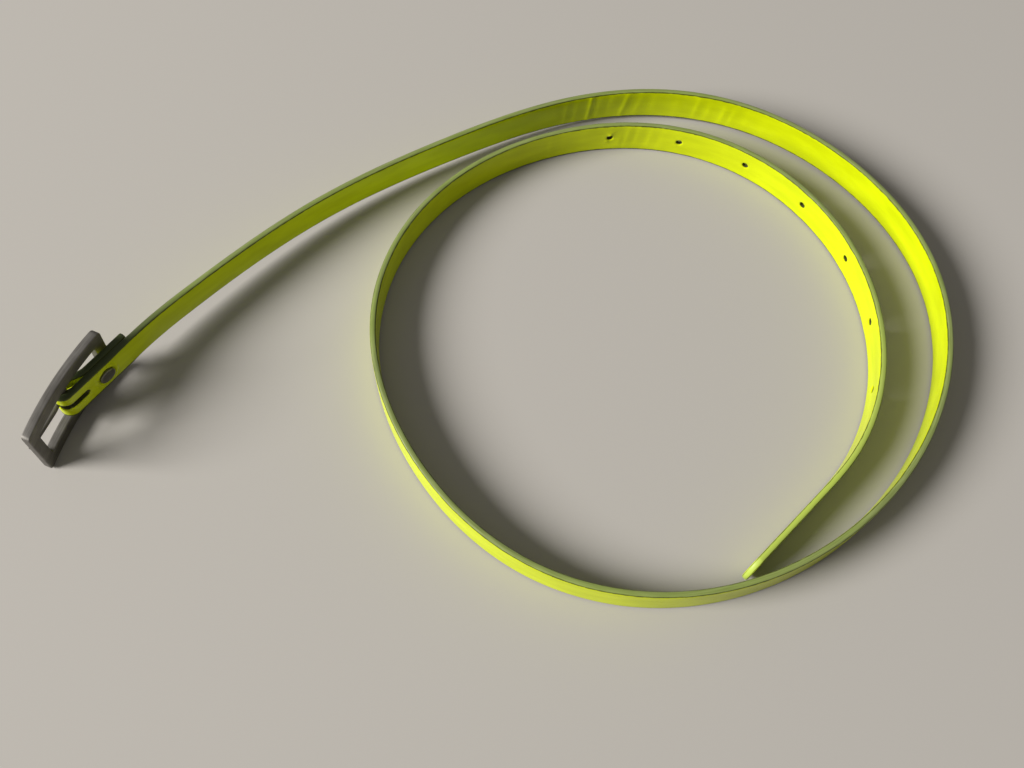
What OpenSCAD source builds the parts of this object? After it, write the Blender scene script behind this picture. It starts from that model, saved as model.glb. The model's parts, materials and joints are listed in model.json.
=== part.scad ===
// A narrow patent belt with a bowed centre-bar buckle, lying loosely coiled on its edge.
// The belt stands on the floor plane z = 0. The coil turns clockwise seen from above, and
// "outer" means the side away from the middle of the coil.

/* [Strap] */
// Length of the strap from the buckle's bar to the tip
strap_len = 997.5; // [980:2.5:1010]
// Width of the strap, painted edges included
strap_w = 12.5; // [12:0.5:13.5]
// Thickness of each glossy face skin
skin_t = 0.4; // [0.3:0.05:0.5]
// Thickness of the core between the two skins
core_t = 1.2; // [1:0.1:1.3]
// Thickness of the paint on the cut edges
paint_t = 0.3; // [0.2:0.05:0.4]

/* [Punched holes] */
// Diameter of the holes for the prong
hole_d = 2.3; // [1.8:0.1:2.4]
// Distance from the buckle's bar to the first hole
first_hole = 770; // [750:5:780]
// Distance between the holes
hole_pitch = 25; // [20:1:26]
// Number of holes
hole_count = 7; // [3:1:7]

/* [Buckle] */
// Length of the frame, from the toe bar to the heel bar
frame_l = 37.5; // [36:0.5:40]
// Height of the frame, across the strap
frame_h = 24.5; // [24:0.5:28]
// Thickness of the frame
frame_t = 2.7; // [2.4:0.1:3]
// Width of the two long rails
rail_w = 5; // [4:0.25:5]
// Width of the toe and heel bars
end_w = 3.8; // [3.5:0.1:4]
// Radius that the frame is bowed to, lengthwise
bow_r = 115; // [95:5:150]
// Radius of the frame's outer corners
corner_r = 1.2; // [0.5:0.1:2]
// Diameter of the centre bar
bar_d = 2.6; // [2.4:0.1:2.8]
// Width of the prong
prong_w = 1.9; // [1.6:0.1:2]
// Thickness of the prong
prong_t = 1.5; // [1.2:0.1:1.6]

/* [Strap end at the buckle] */
// Length of the end that is folded back, from the bar
fold_len = 24; // [22:0.5:24]
// Distance from the bar to the rivet
rivet_x = 12.5; // [12:0.1:12.7]
// Diameter of the rivet's cap
cap_d = 5.6; // [5:0.1:5.8]
// Height of the slot that the prong swings in
slot_h = 3.2; // [2.8:0.1:4]

/* [Lay of the belt] */
// Heading of the buckle frame, heel end first, in degrees from +X
frame_heading = 72.5; // [70:0.5:80]
// Angle between the frame and the strap end that holds it, in degrees
frame_swing = 15; // [13:0.5:20]
// Lean of the buckle towards the middle of the coil, in degrees
buckle_lean = 7.5; // [0:0.5:8]
// Distance along the strap where its lower edge reaches the floor
touch_down = 420; // [300:10:500]
// Distance along the strap where it stands upright
upright_at = 260; // [200:10:400]

/* [Hidden] */

// How sharply the strap turns, in degrees for 50 mm of strap, given every 50 mm from the bar
curl_every = 50;
curl = [-49, -4, -14, -4, -24, -35, -29, -39, -29, -26, -32, -38, -26, -40.5, -36.5, -28.5, -41,
        -37, -34.5, -41.5];
// The tail is straight beyond this length, after a short easing
tail_from = 950;
ease_len = 14;
// Place of the bar's centre in plan, which puts the origin under the middle of the whole belt
bar_x = -131.8;
bar_y = -42.1;

// Strap
strap_t = core_t + 2 * skin_t;
body_w = strap_w - 2 * paint_t;
// The tip's round is a little wider than the strap, so it meets the straight edges at a slight corner
tip_r = body_w / 2 + 0.15;
tip_at = strap_len - paint_t - tip_r;
tip_join = sqrt(tip_r * tip_r - body_w * body_w / 4);
bar_r = bar_d / 2;
// Room between the bar and the fold, and between the two plies
fold_gap = 0.15;
ply_gap = 0.1;
// Radius of the strap's middle surface in the fold round the bar
fold_r = bar_r + fold_gap + strap_t / 2;
// The folded-back end lies this far from the bar's axis, on the outer side when positive
back_y = -fold_r + strap_t + ply_gap;
// The two plies part this far from the bar, to go round it
part_x = 9;
// Centre of the slot's round end, from the bar
slot_x = 4.4;
// The strap end is straight up to here
zone = 25;
// Step of the walk along the route, and the number of steps from one ring of points to the next
step = 2.5;
steps_a_ring = 3;
// Rings in the fold round the bar, and where the plies part
fold_steps = 12;
part_steps = 6;

// Rivet
inner_face = -fold_r - strap_t / 2;
outer_face = back_y + strap_t / 2;
post_d = 2.8;
pin_d = 1.6;
pin_len = 3;
head_d = 4.4;
head_t = 0.6;
post_len = head_t + outer_face - inner_face;
cap_t = 0.9;
cap_edge = 0.4;

// Buckle
bow = bow_r - sqrt(bow_r * bow_r - frame_l * frame_l / 4);
window_l = frame_l - 2 * end_w;
window_h = frame_h - 2 * rail_w;
window_r = 0.8;
// The bar's ends are pressed this deep into the rails
bar_grip = 3;
bar_len = window_h + 2 * bar_grip;
bar_z = frame_h / 2 * cos(buckle_lean) + (frame_t / 2 + bow) * sin(buckle_lean);
bar_at = [bar_x, bar_y, bar_z];

// The prong's loop turns on the bar, and its shank rests on the front of the toe bar
fit_gap = 0.05;
loop_wall = 1.1;
eye_r = bar_r + fit_gap;
loop_r = eye_r + loop_wall;
toe_x = frame_l / 2 - end_w;
tip_inset = 0.6;
rest_gap = 0.03;
shank_y = 0.45;
shank_drop = atan((shank_y - front_y(toe_x) - rest_gap) / toe_x);
shank_len = frame_l / 2 - tip_inset - prong_w / 2;

// Overshoot of a cut, and facets of a round
cut = 1;
round_fn = 48;
bow_fn = 360;

// ---------- directions at the buckle ----------
frame_x = [cos(frame_heading), sin(frame_heading), 0];
frame_side = [-sin(frame_heading), cos(frame_heading), 0];
bar_up = [0, 0, cos(buckle_lean)] - frame_side * sin(buckle_lean);
frame_y = cross(bar_up, frame_x);
end_x = frame_x * cos(frame_swing) - frame_y * sin(frame_swing);
end_y = cross(bar_up, end_x);

function unit(v) = v / norm(v);
function ease(u) = let (k = max(0, min(1, u))) (1 - k) * (1 - k) * (1 + 2 * k);
// Place of the frame's front face at a distance x from the bar
function front_y(x) = frame_t / 2 + sqrt(bow_r * bow_r - x * x) - bow_r;

// ---------- the strap's route ----------
// A station is [point, forward, outward, up]
function at_end(x, y) = bar_at + end_x * x + end_y * y;
function end_station(x, y, turn) = [
    at_end(x, y),
    end_x * cos(turn) + end_y * sin(turn),
    end_y * cos(turn) - end_x * sin(turn),
    bar_up
];
// Sideways place and slope of the folded-back ply between its flat part and the bar
function part_y(x) = back_y + (fold_r - back_y) * (1 + cos(180 * x / part_x)) / 2;
function part_slope(x) = atan(-(fold_r - back_y) * PI / part_x / 2 * sin(180 * x / part_x));

fold_stations = [
    end_station(fold_len - paint_t, back_y, 180),
    for (i = [0 : part_steps - 1])
        let (x = part_x * (1 - i / part_steps)) end_station(x, part_y(x), 180 + part_slope(x)),
    for (i = [0 : fold_steps])
        let (a = 180 * i / fold_steps) end_station(-fold_r * sin(a), fold_r * cos(a), 180 + a),
    end_station(zone / 2, -fold_r, 0)
];

knots = [for (i = [0 : len(curl) - 1]) [i * curl_every, curl[i]]];
function turn_rate(s) =
    lookup(s, knots) / curl_every * max(0, min(1, (tail_from + ease_len - s) / ease_len));
zone_end = at_end(zone, -fold_r);
zone_heading = atan2(end_x.y, end_x.x);
walk_steps = round((strap_len - zone) / step);
// Each entry is [x, y, heading] in plan
walk = [
    for (i = 0, q = [zone_end.x, zone_end.y, zone_heading];
         i <= walk_steps;
         q = let (h = q[2] + turn_rate(zone + (i + 0.5) * step) * step / 2)
             [q.x + step * cos(h), q.y + step * sin(h), q[2] + turn_rate(zone + (i + 0.5) * step) * step],
         i = i + 1) q
];
zone_slope = asin(end_x.z);
function rise(s) = (zone_end.z - strap_w / 2) * pow(max(0, 1 - (s - zone) / (touch_down - zone)), 2);
function lean(s) = buckle_lean * ease((s - zone) / (upright_at - zone));
function walk_at(s) =
    let (k = min((s - zone) / step, walk_steps), i = min(floor(k), walk_steps - 1), f = k - i)
    walk[i] * (1 - f) + walk[i + 1] * f;
function station(s) =
    let (
        q = walk_at(s),
        slope = zone_slope * ease((s - zone) / zone),
        ahead = [cos(q[2]) * cos(slope), sin(q[2]) * cos(slope), sin(slope)],
        side = [-sin(q[2]), cos(q[2]), 0],
        want = s <= zone ? bar_up : [0, 0, cos(lean(s))] - side * sin(lean(s)),
        up = unit(want - ahead * (want * ahead))
    )
    [[q.x, q.y, strap_w / 2 + rise(s)], ahead, cross(up, ahead), up];

function strap_stations(last) = concat(
    fold_stations,
    [for (i = [0 : steps_a_ring : walk_steps]) let (s = zone + i * step) if (s < last - step) station(s)],
    [station(last)]
);

// A band of rectangular section swept along stations, from a to b outward and from lo to hi upward
module band(stations, a, b, lo, hi) {
    n = len(stations);
    points = [
        for (st = stations, c = [[a, lo], [b, lo], [b, hi], [a, hi]])
            st[0] + st[2] * c[0] + st[3] * c[1]
    ];
    sides = [
        for (i = [0 : n - 2], j = [0 : 3])
            let (p = 4 * i + j, q = 4 * i + (j + 1) % 4)
            each j < 2 ? [[p, q + 4, q], [p, p + 4, q + 4]] : [[p, p + 4, q], [q, p + 4, q + 4]]
    ];
    last = 4 * (n - 1);
    ends = [[0, 1, 2], [0, 2, 3], [last, last + 2, last + 1], [last, last + 3, last + 2]];
    polyhedron(points, concat(sides, ends), convexity = 10);
}

// ---------- local frames ----------
module at_frame() {
    translate(bar_at) rotate([buckle_lean, 0, frame_heading]) children();
}

// X runs from the bar towards the coil, Y outward, Z up along the bar
module at_strap_end() {
    at_frame() rotate([0, 0, -frame_swing]) children();
}

// X runs along the strap to the tip, Y outward, Z up, at distance s along the upright strap
module at_strap(s) {
    q = walk_at(s);
    translate([q.x, q.y, strap_w / 2 + rise(s)]) rotate([0, 0, q[2]]) children();
}

module across(d, length) {
    rotate([90, 0, 0]) cylinder(d = d, h = length, center = true, $fn = round_fn);
}

// ---------- the strap ----------
module strap_cuts() {
    for (i = [0 : hole_count - 1]) at_strap(first_hole + i * hole_pitch) across(hole_d, 3 * strap_t);
    at_strap_end() {
        translate([rivet_x, -strap_t, 0]) across(post_d, 5 * strap_t);
        // Slot round the fold, with round ends
        rotate([90, 0, 0]) linear_extrude(6 * fold_r, center = true) {
            translate([-2 * fold_r, -slot_h / 2]) square([2 * fold_r + slot_x, slot_h]);
            translate([slot_x, 0]) circle(d = slot_h, $fn = round_fn);
        }
    }
    // Round tip, trimmed with a thin block, because the outer turn of the coil lies close by
    at_strap(tip_at) difference() {
        trim_t = strap_t + ply_gap;
        translate([0, -trim_t / 2, -strap_w]) cube([tip_r + paint_t + ply_gap, trim_t, 2 * strap_w]);
        across(2 * tip_r, 3 * strap_t);
    }
}

module strap_layer(a, b) {
    difference() {
        band(strap_stations(strap_len), a, b, -body_w / 2, body_w / 2);
        strap_cuts();
    }
}

module strap_outer_skin() {
    color([0.87, 0.95, 0.05]) strap_layer(core_t / 2, strap_t / 2);
}

module strap_core() {
    color([0.55, 0.6, 0.25]) strap_layer(-core_t / 2, core_t / 2);
}

module strap_inner_skin() {
    color([0.87, 0.95, 0.05]) strap_layer(-strap_t / 2, -core_t / 2);
}

module edge_paint(lo, hi) {
    color([0.6, 0.66, 0.42]) band(strap_stations(tip_at + tip_join), -strap_t / 2, strap_t / 2, lo, hi);
}

module edge_paint_upper() {
    edge_paint(body_w / 2, strap_w / 2);
}

module edge_paint_lower() {
    edge_paint(-strap_w / 2, -body_w / 2);
}

module edge_paint_tip() {
    color([0.6, 0.66, 0.42]) at_strap(tip_at) intersection() {
        difference() {
            across(2 * (tip_r + paint_t), strap_t);
            across(2 * tip_r, 2 * strap_t);
        }
        translate([tip_join, -strap_t, -strap_w / 2]) cube([strap_w, 2 * strap_t, strap_w]);
    }
}

module edge_paint_fold_end() {
    color([0.6, 0.66, 0.42]) at_strap_end()
        translate([fold_len - paint_t, back_y - strap_t / 2, -strap_w / 2])
            cube([paint_t, strap_t, strap_w]);
}

// ---------- the rivet through both plies ----------
// Turns a shape's Z to point inward, and stands it on the strap end's inner or outer face
module on_rivet_axis(y) {
    at_strap_end() translate([rivet_x, y, 0]) rotate([90, 0, 0]) children();
}

module rivet_post() {
    color([0.3, 0.3, 0.3]) difference() {
        union() {
            on_rivet_axis(outer_face + head_t) cylinder(d = head_d, h = head_t, $fn = round_fn);
            on_rivet_axis(outer_face + head_t) cylinder(d = post_d, h = post_len, $fn = round_fn);
        }
        on_rivet_axis(inner_face + pin_len) cylinder(d = pin_d, h = pin_len + cut, $fn = round_fn);
    }
}

module rivet_cap() {
    color([0.3, 0.3, 0.3]) on_rivet_axis(inner_face + pin_len) rotate_extrude($fn = round_fn) polygon([
        [0, 0], [pin_d / 2, 0], [pin_d / 2, pin_len], [cap_d / 2, pin_len],
        [cap_d / 2, pin_len + cap_t - cap_edge], [cap_d / 2 - cap_edge, pin_len + cap_t], [0, pin_len + cap_t]
    ]);
}

// ---------- the buckle ----------
// A plate in the frame's X-Z plane with rounded corners
module frame_outline(l, h, r, depth) {
    rotate([90, 0, 0]) linear_extrude(depth, center = true) {
        square([l - 2 * r, h], center = true);
        square([l, h - 2 * r], center = true);
        for (x = [-1, 1], z = [-1, 1])
            translate([x * (l / 2 - r), z * (h / 2 - r)]) circle(r, $fn = round_fn);
    }
}

module buckle_frame() {
    span = 2 * asin(frame_l / 2 / bow_r) + 4;
    depth = 4 * (bow + frame_t);
    color([0.42, 0.42, 0.4]) at_frame() difference() {
        intersection() {
            translate([0, -bow_r, -frame_h / 2]) rotate([0, 0, 90 - span / 2])
                rotate_extrude(angle = span, $fn = bow_fn)
                    translate([bow_r - frame_t / 2, 0]) square([frame_t, frame_h]);
            frame_outline(frame_l, frame_h, corner_r, depth);
        }
        frame_outline(window_l, window_h, window_r, 2 * depth);
        cylinder(d = bar_d, h = bar_len, center = true, $fn = round_fn);
    }
}
module buckle_bar() {
    color([0.42, 0.42, 0.4]) at_frame() cylinder(d = bar_d, h = bar_len, center = true, $fn = round_fn);
}

module prong() {
    color([0.45, 0.45, 0.43]) at_frame() difference() {
        union() {
            cylinder(r = loop_r, h = prong_w, center = true, $fn = round_fn);
            rotate([0, 0, shank_drop]) {
                translate([-shank_len, shank_y, -prong_w / 2]) cube([shank_len, prong_t, prong_w]);
                translate([-shank_len, shank_y + prong_t / 2, 0]) across(prong_w, prong_t);
            }
        }
        cylinder(r = eye_r, h = 2 * prong_w, center = true, $fn = round_fn);
    }
}

strap_outer_skin();
strap_core();
strap_inner_skin();
edge_paint_upper();
edge_paint_lower();
edge_paint_tip();
edge_paint_fold_end();
rivet_post();
rivet_cap();
buckle_frame();
buckle_bar();
prong();
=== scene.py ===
"""The looks of a narrow patent belt with a bowed centre-bar buckle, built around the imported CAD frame.

Lengths are in millimetres in the sections below, and become metres in new_piece().
A place on the strap is (s, v, w): s along it from the buckle's bar, v across it, w through it, outward.
"""

import json
import math

import bpy
import numpy as np
from mathutils import Matrix, Vector
from mathutils.geometry import delaunay_2d_cdt


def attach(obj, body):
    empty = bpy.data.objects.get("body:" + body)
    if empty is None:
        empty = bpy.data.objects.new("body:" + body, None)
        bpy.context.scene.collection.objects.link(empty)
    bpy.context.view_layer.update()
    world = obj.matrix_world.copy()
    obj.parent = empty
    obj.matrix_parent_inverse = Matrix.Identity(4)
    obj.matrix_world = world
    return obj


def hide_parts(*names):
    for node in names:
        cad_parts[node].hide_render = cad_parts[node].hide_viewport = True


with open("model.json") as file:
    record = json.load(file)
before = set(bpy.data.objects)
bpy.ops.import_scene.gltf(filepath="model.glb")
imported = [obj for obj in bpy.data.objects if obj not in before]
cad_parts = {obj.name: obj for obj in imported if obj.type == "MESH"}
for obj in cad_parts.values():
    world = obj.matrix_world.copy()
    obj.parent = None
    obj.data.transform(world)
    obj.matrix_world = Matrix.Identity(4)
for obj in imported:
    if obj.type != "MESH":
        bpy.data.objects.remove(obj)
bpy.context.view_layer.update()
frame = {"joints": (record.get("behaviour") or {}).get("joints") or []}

MM = 0.001

# ---------- driving sizes, as in the CAD model ----------
STRAP_LEN = 997.5
STRAP_W = 12.5
SKIN_T = 0.4
CORE_T = 1.2
PAINT_T = 0.3
HOLE_R = 1.15
FIRST_HOLE = 770.0
HOLE_PITCH = 25.0
HOLE_COUNT = 7
FRAME_L = 37.5
FRAME_H = 24.5
FRAME_T = 2.7
RAIL_W = 5.0
END_W = 3.8
BOW_R = 115.0
BAR_R = 1.3
PRONG_W = 1.9
PRONG_T = 1.5
FOLD_LEN = 24.0
RIVET_X = 12.5
CAP_D = 5.6
SLOT_H = 3.2
SLOT_X = 4.4
FRAME_HEADING = 72.5
FRAME_SWING = 15.0
BUCKLE_LEAN = 7.5
TOUCH_DOWN = 420.0
UPRIGHT_AT = 260.0
CURL_EVERY = 50.0
CURL = [-49, -4, -14, -4, -24, -35, -29, -39, -29, -26, -32, -38, -26, -40.5, -36.5, -28.5, -41,
        -37, -34.5, -41.5]
TAIL_FROM = 950.0
EASE_LEN = 14.0
ZONE = 25.0
PART_X = 9.0
PLY_GAP = 0.1
FOLD_GAP = 0.15
TIP_EXTRA = 0.15

# ---------- derived sizes ----------
STRAP_T = CORE_T + 2 * SKIN_T
HALF_T = STRAP_T / 2
BODY_HALF = STRAP_W / 2 - PAINT_T
TIP_R = BODY_HALF + TIP_EXTRA
TIP_AT = STRAP_LEN - PAINT_T - TIP_R
TIP_JOIN = math.sqrt(TIP_R ** 2 - BODY_HALF ** 2)
TIP_TURN = math.pi / 2 - math.atan2(TIP_JOIN, BODY_HALF)
FOLD_R = BAR_R + FOLD_GAP + HALF_T
BACK_Y = -FOLD_R + STRAP_T + PLY_GAP
ARC_LEN = math.pi * FOLD_R
SLOT_R = SLOT_H / 2


def unit(v):
    """Vectors scaled to length 1."""
    return v / np.linalg.norm(v, axis=-1, keepdims=True)


def ease(u):
    """1 at u = 0, falling smoothly to 0 at u = 1."""
    k = np.clip(u, 0, 1)
    return (1 - k) ** 2 * (1 + 2 * k)


# ---------- directions at the buckle ----------
JOINTS = {j["name"]: j for j in frame["joints"]}
BAR_AT = np.array(JOINTS["frame_swing"]["pos_m"]) / MM
heading = math.radians(FRAME_HEADING)
swing = math.radians(FRAME_SWING)
lean_angle = math.radians(BUCKLE_LEAN)
FRAME_X = np.array([math.cos(heading), math.sin(heading), 0])
FRAME_SIDE = np.array([-math.sin(heading), math.cos(heading), 0])
BAR_UP = np.array([0, 0, math.cos(lean_angle)]) - FRAME_SIDE * math.sin(lean_angle)
FRAME_Y = np.cross(BAR_UP, FRAME_X)
END_X = FRAME_X * math.cos(swing) - FRAME_Y * math.sin(swing)
END_Y = np.cross(BAR_UP, END_X)


# ---------- the strap's route ----------
def end_rows(x, y, turn):
    """Stations of the folded end: x along and y outward from the bar, turned by turn degrees."""
    a = np.radians(turn)[:, None]
    points = BAR_AT + np.outer(x, END_X) + np.outer(y, END_Y)
    forward = END_X * np.cos(a) + END_Y * np.sin(a)
    outward = END_Y * np.cos(a) - END_X * np.sin(a)
    return points, forward, outward, np.tile(BAR_UP, (len(x), 1))


def folded_ply():
    """The ply behind the bar, from its end to the bar, and the length along it."""
    x = np.r_[np.linspace(FOLD_LEN - PAINT_T, PART_X, 40)[:-1], np.linspace(PART_X, 0, 60)]
    inside = x < PART_X
    y = np.where(inside, BACK_Y + (FOLD_R - BACK_Y) * (1 + np.cos(np.pi * x / PART_X)) / 2, BACK_Y)
    slope = np.where(inside, -(FOLD_R - BACK_Y) * math.pi / PART_X / 2 * np.sin(np.pi * x / PART_X), 0)
    length = np.r_[0, np.cumsum(np.hypot(np.diff(x), np.diff(y)))]
    return x, y, 180 + np.degrees(np.arctan(slope)), length


def whole_route():
    """Stations along the whole strap, folded end first: s, point, forward, outward, up."""
    x, y, turn, length = folded_ply()
    back = end_rows(x[:-1], y[:-1], turn[:-1])
    back_s = -ARC_LEN - (length[-1] - length[:-1])
    a = np.linspace(0, 180, 61)
    arc = end_rows(-FOLD_R * np.sin(np.radians(a)), FOLD_R * np.cos(np.radians(a)), 180 + a)
    arc_s = -ARC_LEN * (1 - a / 180)
    flat_s = np.linspace(0, ZONE, 51)[1:-1]
    flat = end_rows(flat_s, np.full(len(flat_s), -FOLD_R), np.zeros(len(flat_s)))
    step = 0.25
    s = np.arange(ZONE, STRAP_LEN + step / 2, step)
    mid = (s[1:] + s[:-1]) / 2
    rate = np.interp(mid, CURL_EVERY * np.arange(len(CURL)), CURL) / CURL_EVERY
    rate = rate * np.clip((TAIL_FROM + EASE_LEN - mid) / EASE_LEN, 0, 1)
    turned = math.degrees(math.atan2(END_X[1], END_X[0])) + np.r_[0, np.cumsum(rate * step)]
    way = np.radians(turned)
    halfway = (way[1:] + way[:-1]) / 2
    start = BAR_AT + END_X * ZONE - END_Y * FOLD_R
    plan_x = start[0] + np.r_[0, np.cumsum(np.cos(halfway) * step)]
    plan_y = start[1] + np.r_[0, np.cumsum(np.sin(halfway) * step)]
    rise = (start[2] - STRAP_W / 2) * np.maximum(0, 1 - (s - ZONE) / (TOUCH_DOWN - ZONE)) ** 2
    lean = lean_angle * ease((s - ZONE) / (UPRIGHT_AT - ZONE))
    slope = math.asin(END_X[2]) * ease((s - ZONE) / ZONE)
    forward = np.stack([np.cos(way) * np.cos(slope), np.sin(way) * np.cos(slope), np.sin(slope)], 1)
    side = np.stack([-np.sin(way), np.cos(way), 0 * way], 1)
    want = np.stack([0 * s, 0 * s, np.cos(lean)], 1) - side * np.sin(lean)[:, None]
    up = unit(want - forward * np.sum(want * forward, 1)[:, None])
    walk = (np.stack([plan_x, plan_y, STRAP_W / 2 + rise], 1), forward, np.cross(up, forward), up)
    parts = [np.concatenate(group) for group in zip(back, arc, flat, walk)]
    return [np.r_[back_s, arc_s, flat_s, s]] + parts


ROUTE_S, ROUTE_POINT, ROUTE_FORWARD, ROUTE_OUT, ROUTE_UP = whole_route()
S_START = float(ROUTE_S[0])


def back_s(x):
    """Place along the strap of a point on the folded-back ply, x from the bar and past the parting."""
    return S_START + (FOLD_LEN - PAINT_T - x)


def on_strap(s, v, w):
    """Places on the strap as points in space. s past either end runs straight on."""
    s, v, w = (np.asarray(k, float) for k in (s, v, w))
    inside = np.clip(s, S_START, STRAP_LEN)

    def at(rows):
        return np.stack([np.interp(inside, ROUTE_S, rows[:, k]) for k in range(3)], -1)

    past = (s - inside)[..., None]
    return (at(ROUTE_POINT) + at(ROUTE_FORWARD) * past + unit(at(ROUTE_UP)) * v[..., None]
            + unit(at(ROUTE_OUT)) * w[..., None])


# ---------- making pieces ----------
def new_piece(name, points, faces, body, nodes, material, flat):
    """A mesh object from points in millimetres, riding on a body and standing for CAD nodes.

    flat holds each point's place along, across and through the piece, for its material."""
    mesh = bpy.data.meshes.new(name)
    mesh.from_pydata([tuple(p) for p in np.asarray(points) * MM], [], [tuple(map(int, f)) for f in faces])
    layer = mesh.attributes.new("flat", "FLOAT_VECTOR", "POINT")
    layer.data.foreach_set("vector", np.asarray(flat, float).ravel())
    mesh.materials.append(material)
    mesh.polygons.foreach_set("use_smooth", [True] * len(mesh.polygons))
    mesh.update()
    mesh.validate()
    piece = bpy.data.objects.new(name, mesh)
    bpy.context.scene.collection.objects.link(piece)
    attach(piece, body)
    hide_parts(*nodes)
    return piece


def sharpen(piece, degrees):
    """Edges that turn more than this stay sharp."""
    bpy.context.view_layer.objects.active = piece
    piece.select_set(True)
    bpy.ops.object.shade_smooth_by_angle(angle=math.radians(degrees))
    piece.select_set(False)


def strip_quads(rings, closed_way=False):
    """Quads between rings of points: rings is (number of rings, points a ring)."""
    n, m = rings
    faces = []
    for i in range(n if closed_way else n - 1):
        for j in range(m):
            a, b = i * m + j, i * m + (j + 1) % m
            c, d = ((i + 1) % n) * m + (j + 1) % m, ((i + 1) % n) * m + j
            faces.append((a, b, c, d))
    return faces


# ---------- the strap's outline, holes and grid, laid out flat ----------
FACE_V = [-5.95, -5.88, -5.76, -5.6, -5.3, -4.0, -2.4, -0.8, 0.8, 2.4, 4.0, 5.3, 5.6, 5.76, 5.88, 5.95]
HOLES = [(FIRST_HOLE + i * HOLE_PITCH, HOLE_R) for i in range(HOLE_COUNT)]
POST_R = 1.4
RIVETS = [(RIVET_X, POST_R), (back_s(RIVET_X), POST_R)]
SLOT_ENDS = (back_s(PART_X) + (PART_X - SLOT_X) * 1.08, SLOT_X)
HOLE_POINTS = 28
SLOT_END_POINTS = 10
SLOT_STEP = 0.35


def circle(s, r, count=HOLE_POINTS):
    """A loop of points round a place on the strap's middle line."""
    turns = [2 * math.pi * k / count for k in range(count)]
    return [(s + r * math.cos(a), r * math.sin(a)) for a in turns]


def slot_outline(grow=0.0):
    """The slot round the fold, as a loop of points."""
    r = SLOT_R + grow
    first, last = SLOT_ENDS
    quarter = math.pi / 2
    rising = np.linspace(-quarter, quarter, SLOT_END_POINTS)
    falling = np.linspace(quarter, -quarter, SLOT_END_POINTS)
    right = [(last + r * math.cos(a), r * math.sin(a)) for a in rising]
    left = [(first - r * math.cos(a), r * math.sin(a)) for a in falling]
    along = np.arange(first + SLOT_STEP, last, SLOT_STEP)
    return right + [(x, r) for x in along[::-1]] + left + [(x, -r) for x in along]


def slot_distance(s, v):
    """Distance from the slot's edge, negative inside it."""
    ahead = np.clip(s, SLOT_ENDS[0], SLOT_ENDS[1])
    return np.hypot(s - ahead, v) - SLOT_R


def hole_distance(s, v, holes):
    """Distance from the nearest round hole's edge."""
    return np.min([np.hypot(s - at, v) - r for at, r in holes], axis=0)


# Creases across the inner face: place along the strap, width, height, slant, and the middle and span of
# the part of the strap's width that they cross
CREASES = [
    (190.0, 1.0, 0.06, 0.05, 0.1, 0.8), (194.5, 0.8, 0.12, 0.05, 0.0, 0.9),
    (198.5, 0.9, 0.10, 0.10, -0.1, 0.9), (203.3, 0.62, 0.30, 0.09, 0.0, 1.2),
    (207.0, 1.2, 0.13, 0.08, 0.1, 0.9), (211.5, 1.2, 0.10, 0.15, 0.3, 0.7),
    (216.3, 0.75, 0.20, 0.22, 0.0, 1.0), (221.8, 1.2, 0.11, 0.20, 0.0, 0.9),
    (227.5, 1.6, 0.08, 0.05, 0.2, 0.8), (236.0, 1.6, 0.07, 0.10, 0.0, 0.9),
    (243.0, 0.9, 0.13, 0.12, 0.1, 0.9), (247.5, 1.0, 0.10, 0.10, -0.2, 0.7),
    (253.0, 0.9, 0.17, 0.12, -0.1, 0.7), (256.5, 0.9, 0.11, 0.14, -0.1, 0.8),
    (262.0, 1.4, 0.08, 0.12, 0.0, 0.8), (269.0, 1.5, 0.06, 0.08, 0.1, 0.7),
    (748.0, 0.9, 0.10, 0.05, -0.1, 0.9), (753.5, 1.2, 0.06, 0.05, 0.0, 0.9),
    (761.0, 1.5, 0.05, 0.05, 0.0, 0.9), (773.5, 0.8, 0.14, 0.15, -0.4, 0.5),
    (776.3, 1.0, 0.13, 0.10, 0.1, 0.9), (780.0, 1.0, 0.10, 0.12, 0.2, 0.8),
    (784.5, 1.1, 0.10, 0.14, 0.1, 0.8), (789.0, 1.3, 0.07, 0.12, 0.0, 0.8),
]
CREASED = [(186.0, 274.0), (744.0, 793.0)]
# A short crease runs out of each hole towards the upper edge
HOLE_CREASE = [0.5, 0.10, 0.12, 0.08, 0.08, 0.14, 0.08]
# A crease rises steeply on one side and falls off slowly on the other
CREASE_RISE, CREASE_FALL = 0.85, 2.0
HOLE_CREASE_SLANT = 0.35
HOLE_CREASE_WIDTH = 0.55
CREASE_FROM = 0.7


def creases(s, v):
    """How far the inner face stands proud at its creases."""
    height = 0 * s
    for at, width, tall, slant, middle, span in CREASES:
        along = (s - at - slant * v) / width
        across = np.exp(-((v / BODY_HALF - middle) / span) ** 4)
        fall = np.where(along < 0, CREASE_RISE, CREASE_FALL)
        height = height + tall * across * np.exp(-(along / fall) ** 2)
    for i, tall in enumerate(HOLE_CREASE):
        at = HOLES[i][0]
        along = (s - at - HOLE_CREASE_SLANT * (v - HOLE_R) + 0.1) / HOLE_CREASE_WIDTH
        above = np.clip(v - CREASE_FROM, 0, 1) * np.exp(-(np.maximum(v - 2.0, 0) / 2.2) ** 2)
        below = np.clip(-v - CREASE_FROM, 0, 1) * np.exp(-(np.maximum(-v - 1.2, 0) / 1.0) ** 2)
        height = height + tall * (above + 0.6 * below) * np.exp(-along ** 2)
    return height


def ripple(s, v, phase):
    """The gentle unevenness of a coated face: three slanted waves, two of which come and go."""
    medium = 0.012 * np.sin(s / 5.3 + phase + 0.25 * v) * np.sin(s / 41 + 2 * phase)
    long = 0.010 * np.sin(s / 9.1 - 0.35 * v + 3 * phase)
    short = 0.006 * np.sin(s / 2.7 + 0.6 * v) * np.sin(s / 23 - phase)
    return medium + long + short


# How far in from its edge a face starts to turn down, and how far down it turns
ROLL_REACH = 0.55
ROLL_DROP = 0.13


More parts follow.
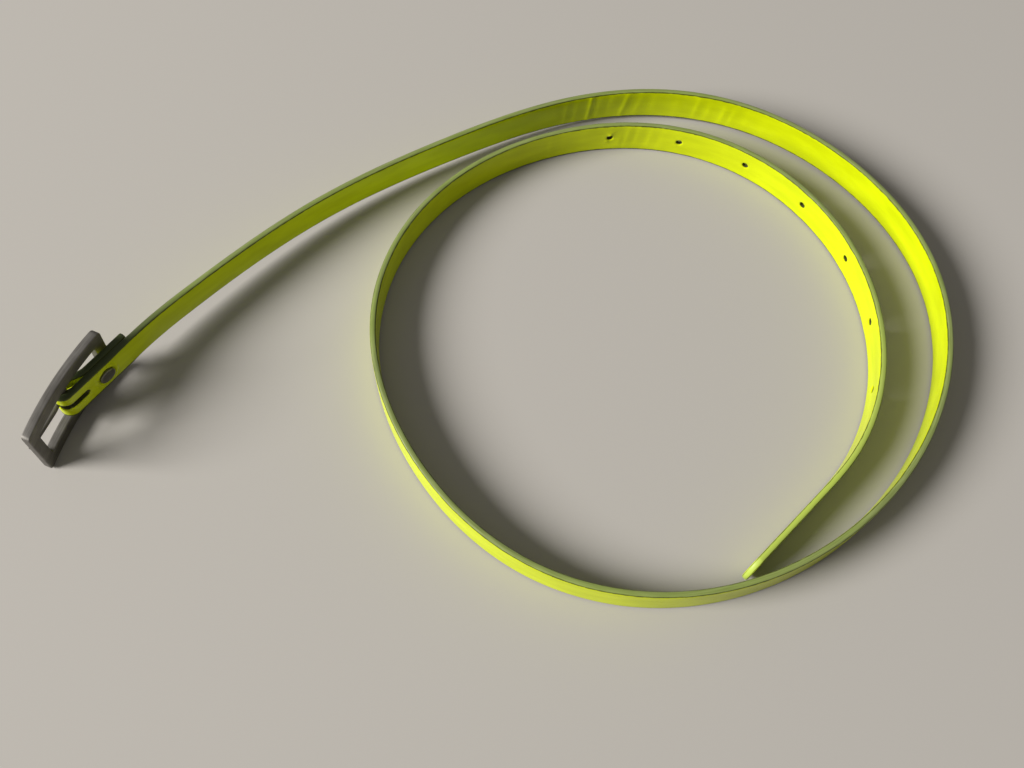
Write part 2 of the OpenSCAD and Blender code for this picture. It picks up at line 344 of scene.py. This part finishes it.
def rolled(v, s):
    """How far a face turns down at its edges, tip and folded end."""
    at_tip = np.hypot(s - TIP_AT, v) - TIP_EXTRA * np.clip((s - TIP_AT) / TIP_R, 0, 1)
    beyond = np.where(s > TIP_AT, at_tip, np.abs(v))
    beyond = np.maximum(beyond, BODY_HALF - (s - S_START))
    u = np.clip((beyond - (BODY_HALF - ROLL_REACH)) / ROLL_REACH, 0, 1)
    return ROLL_DROP * u * u


def rim(distance, depth, reach):
    """How far a face turns down into a hole."""
    u = np.clip(1 - distance / reach, 0, 1)
    return depth * u * u


# Where the rivet's cap presses the inner face down, the ring that it squeezes up round itself, and the
# dent behind the rivet on the folded-back ply
DIMPLE_DEPTH, DIMPLE_R = 0.34, 3.35
RING_RISE, RING_R, RING_WIDTH = 0.45, 3.75, 0.5
DENT_DEPTH, DENT_R = 0.16, 2.7


def inner_face(s, v):
    """w of the strap's inner face."""
    drop = rolled(v, s) + rim(hole_distance(s, v, HOLES), 0.16, 0.45) + rim(slot_distance(s, v), 0.2, 0.5)
    away = np.hypot(s - RIVET_X, v)
    ring = RING_RISE * np.exp(-((away - RING_R) / RING_WIDTH) ** 2)
    dimple = DIMPLE_DEPTH * np.exp(-(away / DIMPLE_R) ** 8) - ring
    dent = DENT_DEPTH * np.exp(-((np.hypot(s - back_s(RIVET_X), v)) / DENT_R) ** 6)
    return -(HALF_T - drop - dimple - dent + creases(s, v) + ripple(s, v, 0.4))


def outer_face(s, v):
    """w of the strap's outer face, which has the inner face's creases, fainter and turned inward."""
    drop = rolled(v, s) + rim(hole_distance(s, v, HOLES), 0.22, 0.5) + rim(slot_distance(s, v), 0.15, 0.4)
    hollow = 0.6 * creases(s, v) * (s > 0)
    return HALF_T - drop - hollow + ripple(s, v, 2.1) - 0.012


def near(s, spans):
    """Whether a place along the strap is in one of the spans."""
    return any(a <= s <= b for a, b in spans)


# Distances between the grid's cross lines: at the folded end, at creases and the tip, and elsewhere
END_STEP, FINE_STEP, PLAIN_STEP = 0.33, 0.5, 1.25
END_WINDOW = 18.0
TIP_WINDOW = TIP_AT - 1.5
# The patch of grid round a hole is this far each way along and across the strap
PATCH_S = 2.8
PATCH_V = 4.0


def s_lines(first, last):
    """Places of the cross lines of the grid, closer where there is more to show."""
    lines = [first]
    fine = CREASED + [(TIP_AT - 3, STRAP_LEN)]
    while lines[-1] < last:
        s = lines[-1]
        lines.append(s + (END_STEP if s < END_WINDOW else FINE_STEP if near(s, fine) else PLAIN_STEP))
    lines = [x for x in lines if x < last - 0.2] + [last]
    for at, _ in HOLES:
        lines = [x for x in lines if abs(x - at) > PATCH_S + 0.3] + [at - PATCH_S, at + PATCH_S]
    return sorted(lines)


def filled(outline, loops, free):
    """Triangles between an outline and hole loops, using the free points too."""
    points, edges = [], []
    for loop in [outline] + loops:
        start = len(points)
        points += loop
        edges += [(start + i, start + (i + 1) % len(loop)) for i in range(len(loop))]
    points += free
    out = delaunay_2d_cdt([Vector(p) for p in points], edges, [], 0, 1e-5)
    return [tuple(p) for p in out[0]], [tuple(f) for f in out[2]]


def in_hole(s, v, margin=0.0):
    """Whether a place is in a hole, in the slot or in the rivet's way, or within the margin of one."""
    return hole_distance(s, v, HOLES + RIVETS) < margin or slot_distance(s, v) < margin


def tip_arc(r, turns):
    """Points on a circle round the tip's centre."""
    return [(TIP_AT + r * math.cos(a), r * math.sin(a)) for a in turns]


def flat_strap():
    """The strap's outline laid flat as points (s, v) and faces, with its holes open."""
    key_of, points, faces = {}, [], []

    def index(p):
        key = (round(p[0], 3), round(p[1], 3))
        if key not in key_of:
            key_of[key] = len(points)
            points.append(p)
        return key_of[key]

    def add(pts, tris):
        for f in tris:
            s, v = (sum(pts[i][k] for i in f) / len(f) for k in (0, 1))
            if not in_hole(s, v):
                ids = [index(pts[i]) for i in f]
                if len(set(ids)) == len(ids):
                    faces.append(ids)

    lines = s_lines(S_START, TIP_WINDOW)
    end = min(x for x in lines if x > END_WINDOW)
    for a, b in zip(lines, lines[1:]):
        if a < end - 1e-6:
            continue
        holed = any(abs((a + b) / 2 - at) < PATCH_S for at, _ in HOLES)
        for lo, hi in zip(FACE_V, FACE_V[1:]):
            if not (holed and -PATCH_V <= lo and hi <= PATCH_V):
                add([(a, lo), (b, lo), (b, hi), (a, hi)], [(0, 1, 2, 3)])
    patch_v = [v for v in FACE_V if abs(v) <= PATCH_V]
    for at, r in HOLES:
        outline = [(at - PATCH_S, v) for v in patch_v[::-1]] + [(at + PATCH_S, v) for v in patch_v]
        free = circle(at, r + 0.12) + circle(at, r + 0.3)
        free += circle(at, r + 0.6, 20) + circle(at, r + 1.15, 16)
        free += [(at + k * 1.6, v) for k in (-1, 0, 1) for v in (-3.0, 3.0)]
        add(*filled(outline, [circle(at, r)], free))
    window = [x for x in lines if x <= end]
    outline = [(x, -BODY_HALF) for x in window] + [(end, v) for v in FACE_V[1:-1]]
    outline += [(x, BODY_HALF) for x in window[::-1]] + [(S_START, v) for v in FACE_V[-2:0:-1]]
    dense_v = sorted(set(FACE_V + [-4.7, -3.2, -2.9, -2.0, 0.0, 2.0, 2.9, 3.2, 4.7]))
    free = [(x, v) for x in window[1:-1] for v in dense_v[1:-1] if not in_hole(x, v, 0.28)]
    loops = [slot_outline()] + [circle(at, r) for at, r in RIVETS]
    free += slot_outline(0.14) + [p for at, r in RIVETS for p in circle(at, r + 0.14)]
    add(*filled(outline, loops, free))
    outline = [(TIP_WINDOW, v) for v in FACE_V[::-1]] + tip_arc(TIP_R, np.linspace(-1, 1, 41) * TIP_TURN)
    free = []
    for inset in (0.07, 0.2, 0.36, 0.7):
        free += tip_arc(TIP_R - inset, np.linspace(-1.35, 1.35, 37))
    for r in (1.5, 3.0, 4.2):
        free += tip_arc(r, np.linspace(-1.3, 1.3, 11))
    add(*filled(outline, [], free))
    return np.array(points), faces


def turned_up(points, faces):
    """The faces wound anticlockwise in the flat."""
    fixed = []
    for f in faces:
        x, y = points[f, 0], points[f, 1]
        area = np.sum(x * np.roll(y, -1) - np.roll(x, -1) * y)
        fixed.append(f if area > 0 else f[::-1])
    return fixed


def plate(flat_points, faces, low, high):
    """A closed plate over a flat mesh, between two surfaces w = low(s, v) and w = high(s, v)."""
    s, v = flat_points[:, 0], flat_points[:, 1]
    n = len(flat_points)
    w = np.r_[low(s, v), high(s, v)]
    flat = np.stack([np.r_[s, s], np.r_[v, v], w], 1)
    # s forward, v up and w outward make a left-handed set, so the high side is wound backwards
    solid = [list(f) for f in faces] + [[i + n for i in f[::-1]] for f in faces]
    count = {}
    for f in faces:
        for a, b in zip(f, f[1:] + f[:1]):
            count[(a, b)] = count.get((a, b), 0) + 1
    for a, b in count:
        if (b, a) not in count:
            solid.append([b, a, a + n, b + n])
    return on_strap(flat[:, 0], flat[:, 1], flat[:, 2]), solid, flat


# ---------- materials ----------
class Nodes:
    """A small helper that builds one material's node tree."""

    def __init__(self, name):
        self.material = bpy.data.materials.new(name)
        self.material.use_nodes = True
        self.tree = self.material.node_tree
        self.shader = self.tree.nodes["Principled BSDF"]

    def set(self, **values):
        for key, value in values.items():
            self.shader.inputs[key.replace("_", " ")].default_value = value
        return self

    def add(self, kind, inputs=(), **props):
        node = self.tree.nodes.new(kind)
        for key, value in props.items():
            setattr(node, key, value)
        for key, value in dict(inputs).items():
            if hasattr(value, "is_output"):
                self.tree.links.new(value, node.inputs[key])
            else:
                node.inputs[key].default_value = value
        return node

    def link(self, socket, name):
        self.tree.links.new(socket, self.shader.inputs[name])

    def flat(self, scale=(1, 1, 1)):
        """Coordinates along, across and through the piece, in millimetres, scaled."""
        read = self.add("ShaderNodeAttribute", attribute_name="flat")
        inputs = {0: read.outputs["Vector"], 1: scale}
        return self.add("ShaderNodeVectorMath", inputs, operation="MULTIPLY").outputs[0]

    def noise(self, vector, scale=1.0, detail=3.0, roughness=0.5):
        values = {"Vector": vector, "Scale": scale, "Detail": detail, "Roughness": roughness}
        return self.add("ShaderNodeTexNoise", values).outputs["Fac"]

    def span(self, value, low, high, to_low, to_high):
        values = {"Value": value, "From Min": low, "From Max": high, "To Min": to_low, "To Max": to_high}
        return self.add("ShaderNodeMapRange", values).outputs["Result"]

    def math(self, operation, a, b=0.0):
        return self.add("ShaderNodeMath", {0: a, 1: b}, operation=operation).outputs[0]

    def mix(self, factor, a, b):
        node = self.add("ShaderNodeMix", data_type="RGBA")
        for socket, value in ((node.inputs[0], factor), (node.inputs[6], a), (node.inputs[7], b)):
            if hasattr(value, "is_output"):
                self.tree.links.new(value, socket)
            elif socket.type == "RGBA":
                socket.default_value = (*value, 1)
            else:
                socket.default_value = value
        return node.outputs[2]

    def bump(self, height, strength, distance, under=None):
        values = {"Height": height, "Strength": strength, "Distance": distance * MM}
        if under is not None:
            values["Normal"] = under
        return self.add("ShaderNodeBump", values).outputs["Normal"]


def patent_material():
    """Fluorescent patent coating: a bright body under a gloss, darkened at the edges, with painted shade
    round the fold and between the plies.
    """
    m = Nodes("patent_yellow")
    m.set(Coat_Weight=0.4, Coat_Roughness=0.07, Specular_IOR_Level=0.02)
    place = m.add("ShaderNodeSeparateXYZ", {0: m.flat()})
    across = m.math("ABSOLUTE", place.outputs[1])
    # Painted shade: the dark edge band is widened over the folded end and the strap's first 14 to 26 mm,
    # where the gap between the plies lies in shade.
    painted_fold_shade = m.span(place.outputs[0], 14.0, 26.0, 0.35, 0)
    cloud = m.noise(m.flat((0.06, 0.25, 0.25)), 1.0, 3.0)
    body = m.mix(m.span(cloud, 0.35, 0.65, 0, 1), (0.485, 0.56, 0.002), (0.565, 0.65, 0.003))
    ragged = m.noise(m.flat((0.5, 0.5, 0.5)), 1.0, 3.0)
    edge = m.math("ADD", across, m.span(ragged, 0.3, 0.7, -0.09, 0.09))
    # The dark band is wider along the lower edge. This is partly the edge's own dark colour and partly
    # painted contact shadow along the floor.
    edge = m.math("ADD", edge, m.span(place.outputs[1], -5.2, -5.4, 0, 0.22))
    dark = m.span(m.math("ADD", edge, painted_fold_shade), 5.62, 5.9, 0, 1)
    m.link(m.mix(dark, body, (0.06, 0.068, 0.008)), "Base Color")
    streak = m.noise(m.flat((0.25, 3.0, 1.0)), 1.0, 4.0)
    m.link(m.span(streak, 0.3, 0.7, 0.26, 0.36), "Roughness")
    peel = m.noise(m.flat((0.9, 0.9, 0.9)), 1.0, 2.0)
    hairline = m.noise(m.flat((0.35, 9.0, 2.0)), 1.0, 2.0)
    soft = m.bump(peel, 0.12, 0.05)
    fine = m.bump(hairline, 0.05, 0.01, soft)
    m.link(fine, "Normal")
    m.link(m.bump(peel, 0.10, 0.05), "Coat Normal")
    return m.material


def core_material():
    """Leather board, as seen in the punched holes and the slot."""
    m = Nodes("leather_board")
    m.set(Roughness=0.9, Specular_IOR_Level=0.2)
    fibre = m.noise(m.flat((1.2, 1.2, 6.0)), 1.0, 4.0)
    m.link(m.mix(m.span(fibre, 0.35, 0.65, 0, 1), (0.035, 0.035, 0.012), (0.09, 0.09, 0.03)), "Base Color")
    m.link(m.bump(fibre, 0.5, 0.1), "Normal")
    return m.material


def paint_material():
    """Matte edge paint: sage on the crown, with painted shade in olive on the flanks beside the faces, dark
    at the buckle, paler towards the tip.
    """
    m = Nodes("edge_paint")
    m.set(Specular_IOR_Level=0.35, Sheen_Weight=0.08, Sheen_Roughness=0.5)
    place = m.add("ShaderNodeSeparateXYZ", {0: m.flat()})
    through = m.math("ABSOLUTE", place.outputs[2])
    along = m.noise(m.flat((0.12, 1.3, 2.2)), 1.0, 4.0)
    patchy = m.noise(m.flat((0.035, 0.05, 0.05)), 1.0, 2.0)
    body = m.mix(m.span(along, 0.32, 0.68, 0, 1), (0.14, 0.175, 0.040), (0.235, 0.28, 0.095))
    body = m.mix(m.span(patchy, 0.35, 0.65, 0, 0.45), body, (0.21, 0.28, 0.045))
    body = m.mix(m.span(place.outputs[0], 860.0, 960.0, 0, 0.8), body, (0.42, 0.53, 0.07))
    body = m.mix(m.span(place.outputs[0], 22.0, 50.0, 0.9, 0), body, (0.03, 0.042, 0.012))
    # Painted shade: the bead's flanks beside the faces go dark olive, as where the dome turns away from the
    # light.
    ragged = m.noise(m.flat((0.5, 0.3, 0.3)), 1.0, 2.0)
    side = m.span(m.math("ADD", through, m.span(ragged, 0.3, 0.7, -0.06, 0.06)), 0.62, 0.84, 0, 1)
    m.link(m.mix(side, body, (0.055, 0.07, 0.008)), "Base Color")
    m.link(m.span(along, 0.3, 0.7, 0.55, 0.42), "Roughness")
    grain = m.noise(m.flat((2.5, 4.0, 4.0)), 1.0, 3.0)
    m.link(m.bump(grain, 0.25, 0.04, m.bump(along, 0.4, 0.08)), "Normal")
    return m.material


def metal_material(name, dark, pale, rough):
    """Brushed plated metal, streaked along the piece and a little cloudy."""
    m = Nodes(name)
    m.set(Metallic=0.9)
    streak = m.noise(m.flat((0.10, 5.0, 5.0)), 1.0, 5.0, 0.6)
    cloud = m.noise(m.flat((0.22, 0.22, 0.22)), 1.0, 3.0)
    tone = m.math("ADD", m.math("MULTIPLY", streak, 0.65), m.math("MULTIPLY", cloud, 0.35))
    m.link(m.mix(m.span(tone, 0.36, 0.64, 0, 1), dark, pale), "Base Color")
    m.link(m.span(streak, 0.3, 0.7, rough, rough + 0.14), "Roughness")
    m.link(m.bump(streak, 0.22, 0.02), "Normal")
    return m.material


PATENT = patent_material()
CORE = core_material()
PAINT = paint_material()
GUNMETAL = metal_material("gunmetal", (0.115, 0.107, 0.095), (0.23, 0.218, 0.20), 0.52)
RIVET_METAL = metal_material("rivet_metal", (0.11, 0.105, 0.09), (0.25, 0.24, 0.21), 0.30)


# ---------- the strap's pieces ----------
def build_strap():
    """The board and its two patent faces, as three plates over one flat outline."""
    points, faces = flat_strap()
    faces = turned_up(points, faces)
    half_core = CORE_T / 2

    def level(w):
        return lambda s, v: np.full(len(s), w)

    for name, low, high, material, slot in (
        ("strap_outer_skin", level(half_core), outer_face, PATENT, "patent_face"),
        ("strap_core", level(-half_core), level(half_core), CORE, "core"),
        ("strap_inner_skin", inner_face, level(-half_core), PATENT, "patent_face"),
    ):
        placed, solid, flat = plate(points, faces, low, high)
        piece = new_piece(name + "_patent" if slot == "patent_face" else name + "_board", placed, solid,
                          "strap", [name], material, flat)
        sharpen(piece, 50)


# How far the bead of paint reaches in under its edge, how far its root goes further, and its half-width
PAINT_BASE = 0.12
PAINT_ROOT = 0.15
PAINT_SIDE = 0.86
PAINTED_NODES = ["edge_paint_upper", "edge_paint_lower", "edge_paint_tip", "edge_paint_fold_end"]


def paint_path():
    """The line that the paint follows in the flat, as rows (s, v) with their outward direction.

    It runs along the upper edge, round the tip, back along the lower edge and across the folded end."""
    corner = 0.5
    straight = s_lines(S_START + corner, TIP_AT + TIP_JOIN)
    rows = [(s, BODY_HALF, 0, 1) for s in straight]
    for a in np.linspace(TIP_TURN, -TIP_TURN, 61):
        rows.append((TIP_AT + TIP_R * math.cos(a), TIP_R * math.sin(a), math.cos(a), math.sin(a)))
    rows += [(s, -BODY_HALF, 0, -1) for s in straight[::-1]]
    turn = np.linspace(0, math.pi / 2, 7)[1:-1]
    s0, v0 = S_START + corner, BODY_HALF - corner
    for a in turn:
        rows.append((s0 - corner * math.sin(a), -v0 - corner * math.cos(a), -math.sin(a), -math.cos(a)))
    rows += [(S_START, v, -1, 0) for v in np.linspace(-v0, v0, 16)]
    for a in turn:
        rows.append((s0 - corner * math.cos(a), v0 + corner * math.sin(a), -math.cos(a), math.sin(a)))
    return np.array(rows)


def build_paint():
    """The painted edge: a domed bead all the way round."""
    path = paint_path()
    turn = np.linspace(-math.pi / 2, math.pi / 2, 15)
    crown = PAINT_T + PAINT_BASE
    root = -PAINT_BASE - PAINT_ROOT
    out = np.r_[-PAINT_BASE + crown * np.cos(turn) ** 0.75, root, root]
    through = np.r_[PAINT_SIDE * np.sin(turn), PAINT_SIDE * 0.8, -PAINT_SIDE * 0.8]
    uneven = 1 - 0.10 * (0.5 + 0.5 * np.sin(path[:, 0] / 3.1 + np.sin(path[:, 0] / 11)))
    lift = np.where(out[None, :] > 0, out[None, :] * uneven[:, None], out[None, :])
    s = path[:, 0:1] + path[:, 2:3] * lift
    v = path[:, 1:2] + path[:, 3:4] * lift
    # No part of the lower bead may reach below the strap's own lower edge, which stands on the floor
    v = np.where(v < -BODY_HALF, np.maximum(v, -STRAP_W / 2), v)
    wider = 1 + 0.2 * np.clip((ZONE - path[:, 0]) / 4, 0, 1)
    w = through[None, :] * wider[:, None]
    flat = np.stack([s.ravel(), v.ravel(), w.ravel()], 1)
    faces = [f[::-1] for f in strip_quads(w.shape, closed_way=True)]
    placed = on_strap(*flat.T)
    new_piece("edge_paint_bead", placed, faces, "strap", PAINTED_NODES, PAINT, flat)


# ---------- lathe work ----------
def pole_caps(rings, count):
    """Triangles that close a tube of rings at two pole points, which come after the rings' own points."""
    first, last, top = rings * count, rings * count + 1, (rings - 1) * count
    return ([(first, (j + 1) % count, j) for j in range(count)]
            + [(last, top + j, top + (j + 1) % count) for j in range(count)])


def lathe(name, profile, axes, body, nodes, material, count=72):
    """A turned piece from (radius, height) pairs, pole to pole; axes is (centre, x, y, turning axis)."""
    centre, x, y, axis = axes
    a = np.linspace(0, 2 * math.pi, count, endpoint=False)
    rings = []
    for r, h in profile:
        rings.append(centre + np.outer(np.cos(a) * r, x) + np.outer(np.sin(a) * r, y) + axis * h)
    points = np.concatenate(rings)
    points = np.vstack([points, centre + axis * profile[0][1], centre + axis * profile[-1][1]])
    faces = strip_quads((len(profile), count)) + pole_caps(len(profile), count)
    local = points - centre
    flat = np.stack([local @ x, local @ y, local @ axis], 1)
    return new_piece(name, points, faces, body, nodes, material, flat)


def rounded_disc(r, low, high, edge, crown, steps=6):
    """The profile of a disc with a rounded rim and a crowned top, from under its middle to over it."""
    rows = [(r * 0.15, low), (r - 0.12, low), (r, low + 0.1)]
    for a in np.linspace(0, math.pi / 2, steps):
        rows.append((r - edge + edge * math.cos(a), high - crown - edge + edge * math.sin(a)))
    for k in (0.82, 0.6, 0.35, 0.12):
        rows.append((r * k, high - crown * k * k))
    return rows


def build_rivet():
    """The rivet's two halves: a cap with its pin on the inner face, and a post with its head outside."""
    out = END_Y
    inner = on_strap(RIVET_X, 0, -HALF_T)
    outer = BAR_AT + END_X * RIVET_X + out * (BACK_Y + HALF_T)
    cap_sunk, cap_top = -0.32, 0.76
    pin_r, pin_len = 0.8, 2.9
    head_r, head_sunk, head_top = 2.2, -0.18, 0.6
    post_bore, post_r, post_len = 0.82, 1.38, 4.0
    cap = rounded_disc(CAP_D / 2, cap_sunk, cap_top, 0.3, 0.06)
    pin = [(pin_r / 2, -pin_len), (pin_r, -pin_len), (pin_r, cap_sunk - 0.02)]
    head = rounded_disc(head_r, head_sunk, head_top, 0.22, 0.08)
    post = [(post_bore, -post_len), (post_r, -post_len), (post_r, head_sunk - 0.02)]
    for name, profile, axes, node in (
        ("rivet_cap_turned", pin + cap, (inner, END_X, BAR_UP, -out), "rivet_cap"),
        ("rivet_post_turned", post + head, (outer, END_X, -BAR_UP, out), "rivet_post"),
    ):
        lathe(name, profile, axes, "strap", [node], RIVET_METAL)


# ---------- the buckle ----------
def rounded_outline(l, h, r, every=1.5):
    """A rounded rectangle as a loop of points (x, z), with the same number of points for any size."""
    corner_points = 7
    along = int(FRAME_L / every)
    up = int(FRAME_H / every)
    rows = []
    for cx, cz, start in ((1, 1, 0), (-1, 1, 90), (-1, -1, 180), (1, -1, 270)):
        for a in np.radians(np.linspace(start, start + 90, corner_points)):
            rows.append((cx * (l / 2 - r) + r * math.cos(a), cz * (h / 2 - r) + r * math.sin(a)))
        nx, nz = {(1, 1): (-1, 1), (-1, 1): (-1, -1), (-1, -1): (1, -1), (1, -1): (1, 1)}[(cx, cz)]
        count = along if nz == cz else up
        a0 = np.array(rows[-1])
        end = math.radians(start + 90)
        b0 = np.array([nx * (l / 2 - r) + r * math.cos(end), nz * (h / 2 - r) + r * math.sin(end)])
        rows += [tuple(a0 + (b0 - a0) * k / count) for k in range(1, count)]
    return np.array(rows)


def in_frame(x, y, z):
    """Frame-bound places as points in space: x from toe to heel, y outward, z up."""
    return BAR_AT + np.outer(x, FRAME_X) + np.outer(y, FRAME_Y) + np.outer(z, BAR_UP)


def bowed(x, y):
    """y of a place that is y off the bowed middle surface at x."""
    return np.sqrt((BOW_R + y) ** 2 - x ** 2) - BOW_R


def build_frame():
    """The frame: a bowed ring of flat bar with rounded arrises."""
    window_l, window_h = FRAME_L - 2 * END_W, FRAME_H - 2 * RAIL_W
    arris = 0.42
    border = arris + 0.25
    outline_r, window_r = 1.2, 0.8
    half = FRAME_T / 2
    steps = np.linspace(0, math.pi / 2, 6)
    loops = []

    def loop(inset, y, window):
        if window:
            xz = rounded_outline(window_l + 2 * inset, window_h + 2 * inset, window_r + inset)
        else:
            xz = rounded_outline(FRAME_L - 2 * inset, FRAME_H - 2 * inset, max(outline_r - inset, 0.3))
        loops.append(np.stack([xz[:, 0], np.full(len(xz), y), xz[:, 1]], 1))

    for side, window in ((1, False), (1, True), (-1, True), (-1, False)):
        order = steps if (side, window) in ((1, False), (-1, True)) else steps[::-1]
        if (side, window) in ((1, True), (-1, False)):
            loop(border, side * half, window)
        for a in order:
            loop(arris * (1 - math.cos(a)), side * (half - arris * (1 - math.sin(a))), window)
        if (side, window) in ((1, False), (-1, True)):
            loop(border, side * half, window)
    flat = np.concatenate(loops)
    count = len(loops[0])
    points = in_frame(flat[:, 0], bowed(flat[:, 0], flat[:, 1]), flat[:, 2])
    faces = [f[::-1] for f in strip_quads((len(loops), count), closed_way=True)]
    new_piece("buckle_frame_bowed", points, faces, "buckle", ["buckle_frame"], GUNMETAL, flat)


def build_bar():
    """The centre bar, with a shoulder where it enters each rail."""
    half = FRAME_H / 2 - RAIL_W
    sunk = 2.9
    neck_r = BAR_R - 0.1
    rows = [(0.4, -half - sunk), (neck_r, -half - sunk), (neck_r, -half - 0.05), (BAR_R, -half + 0.35)]
    rows += [(BAR_R, z) for z in np.linspace(-half + 1, half - 1, 9)]
    rows += [(r, -z) for r, z in rows[3::-1]]
    axes = (BAR_AT, FRAME_X, FRAME_Y, BAR_UP)
    lathe("buckle_bar_turned", rows, axes, "buckle", ["buckle_bar"], GUNMETAL, 40)


def squared(c):
    """A sine or cosine pushed outward, so that a circle becomes a square with round corners."""
    return np.sign(c) * np.abs(c) ** 0.45


def build_prong():
    """The prong: a flat wire, its loop rolled round the bar and its rounded tip resting on the toe bar."""
    gap = 0.05
    loop_t = 1.05
    loop_r = BAR_R + gap + loop_t / 2
    shank_y = 0.45
    toe_x = FRAME_L / 2 - END_W
    toe_y = FRAME_T / 2 + math.sqrt(BOW_R ** 2 - toe_x ** 2) - BOW_R
    drop = math.atan((shank_y - toe_y - 0.03) / toe_x)
    reach = FRAME_L / 2 - 0.6
    bend_from, bend_to = 1.2, 6.0
    rows = []
    for a in np.radians(np.linspace(-205, 90, 44)):
        rows.append((loop_r * math.cos(a), loop_r * math.sin(a), loop_t, PRONG_W * 0.95))
    for x in np.linspace(bend_from, reach, 34):
        u = x / reach
        bent = (x - bend_from) / (bend_to - bend_from)
        taper = 1 - 0.12 * u
        thick = loop_t + (PRONG_T - loop_t) * min(1, (x - bend_from) / 4) - 0.15 * u
        base = shank_y + 0.02 + thick / 2
        y = base if x > bend_to else base + (loop_r - base) * (1 - bent) ** 2
        ahead_x = -x * math.cos(drop) - y * math.sin(drop)
        ahead_y = y * math.cos(drop) - x * math.sin(drop)
        rows.append((ahead_x, ahead_y, thick, PRONG_W * taper))
    rows = np.array(rows)
    centre = rows[:, :2]
    ahead = unit(np.gradient(centre, axis=0))
    normal = np.stack([ahead[:, 1], -ahead[:, 0]], 1)
    a = np.linspace(0, 2 * math.pi, 24, endpoint=False)
    across, through = squared(np.cos(a)), squared(np.sin(a))
    points, flat = [], []
    length = np.r_[0, np.cumsum(np.linalg.norm(np.diff(centre, axis=0), axis=1))]
    total = length[-1]
    for i, (x, y, thick, width) in enumerate(rows):
        left = min(total - length[i], length[i] + 0.25)
        nose = math.sqrt(max(0.0, 1 - (1 - min(left, 0.9) / 0.9) ** 2)) * 0.92 + 0.08
        z = across * width / 2 * nose
        off = through * thick / 2 * (0.35 + 0.65 * nose)
        px = x + normal[i, 0] * off
        py = y + normal[i, 1] * off
        points.append(in_frame(px, py, z))
        flat.append(np.stack([np.full(len(a), length[i]), off, z], 1))
    count = len(a)
    poles = [in_frame([x], [y], [0]) for x, y in (centre[0], centre[-1])]
    points = np.vstack(points + poles)
    flat = np.vstack(flat + [np.zeros((1, 3)), [[total, 0, 0]]])
    faces = strip_quads((len(rows), count)) + pole_caps(len(rows), count)
    new_piece("prong_rolled", points, faces, "prong", ["prong"], GUNMETAL, flat)


# ---------- floor, light and camera ----------
def build_floor():
    """A plain pale floor."""
    bpy.ops.mesh.primitive_plane_add(size=60.0, location=(0, 0, 0))
    floor = bpy.context.active_object
    floor.name = "floor"
    m = Nodes("floor_plain")
    m.set(Base_Color=(0.40, 0.38, 0.352, 1), Roughness=0.9, Specular_IOR_Level=0.1)
    floor.data.materials.append(m.material)


def area_light(name, place, size, power, colour):
    """A round soft light that points at the belt."""
    data = bpy.data.lights.new(name, "AREA")
    data.shape = "DISK"
    data.size = size
    data.energy = power
    data.color = colour
    light = bpy.data.objects.new(name, data)
    light.location = place
    light.rotation_euler = (-Vector(place)).to_track_quat("-Z", "Y").to_euler()
    bpy.context.scene.collection.objects.link(light)


def build_light():
    """One large soft light from the left and near side, with a weak even fill."""
    area_light("window_light", (-4.1, -1.3, 2.6), 2.5, 500.0, (1.0, 0.985, 0.96))
    world = bpy.data.worlds.new("studio")
    world.use_nodes = True
    back = world.node_tree.nodes["Background"]
    back.inputs["Color"].default_value = (1.0, 0.97, 0.92, 1)
    back.inputs["Strength"].default_value = 0.22
    bpy.context.scene.world = world
    bpy.context.scene.view_settings.view_transform = "Standard"


def build_camera():
    """A camera at the photograph's angle: place, tilt from straight down, roll and lens."""
    place = Vector((0.1, -160.0, 280.2)) * MM
    tilt, roll = math.radians(26.13), math.radians(3.43)
    lens_px = 982.1
    data = bpy.data.cameras.new("camera")
    data.sensor_width = 36.0
    data.lens = lens_px * data.sensor_width / 1024
    data.clip_start = 0.01
    camera = bpy.data.objects.new("camera", data)
    right = Vector((math.cos(roll), math.sin(roll) * math.cos(tilt), math.sin(roll) * math.sin(tilt)))
    up = Vector((-math.sin(roll), math.cos(roll) * math.cos(tilt), math.cos(roll) * math.sin(tilt)))
    turn = Matrix((right, up, right.cross(up))).transposed()
    camera.matrix_world = Matrix.Translation(place) @ turn.to_4x4()
    bpy.context.scene.collection.objects.link(camera)
    bpy.context.scene.camera = camera


build_camera()
build_light()
build_floor()
build_strap()
build_paint()
build_rivet()
build_frame()
build_bar()
build_prong()
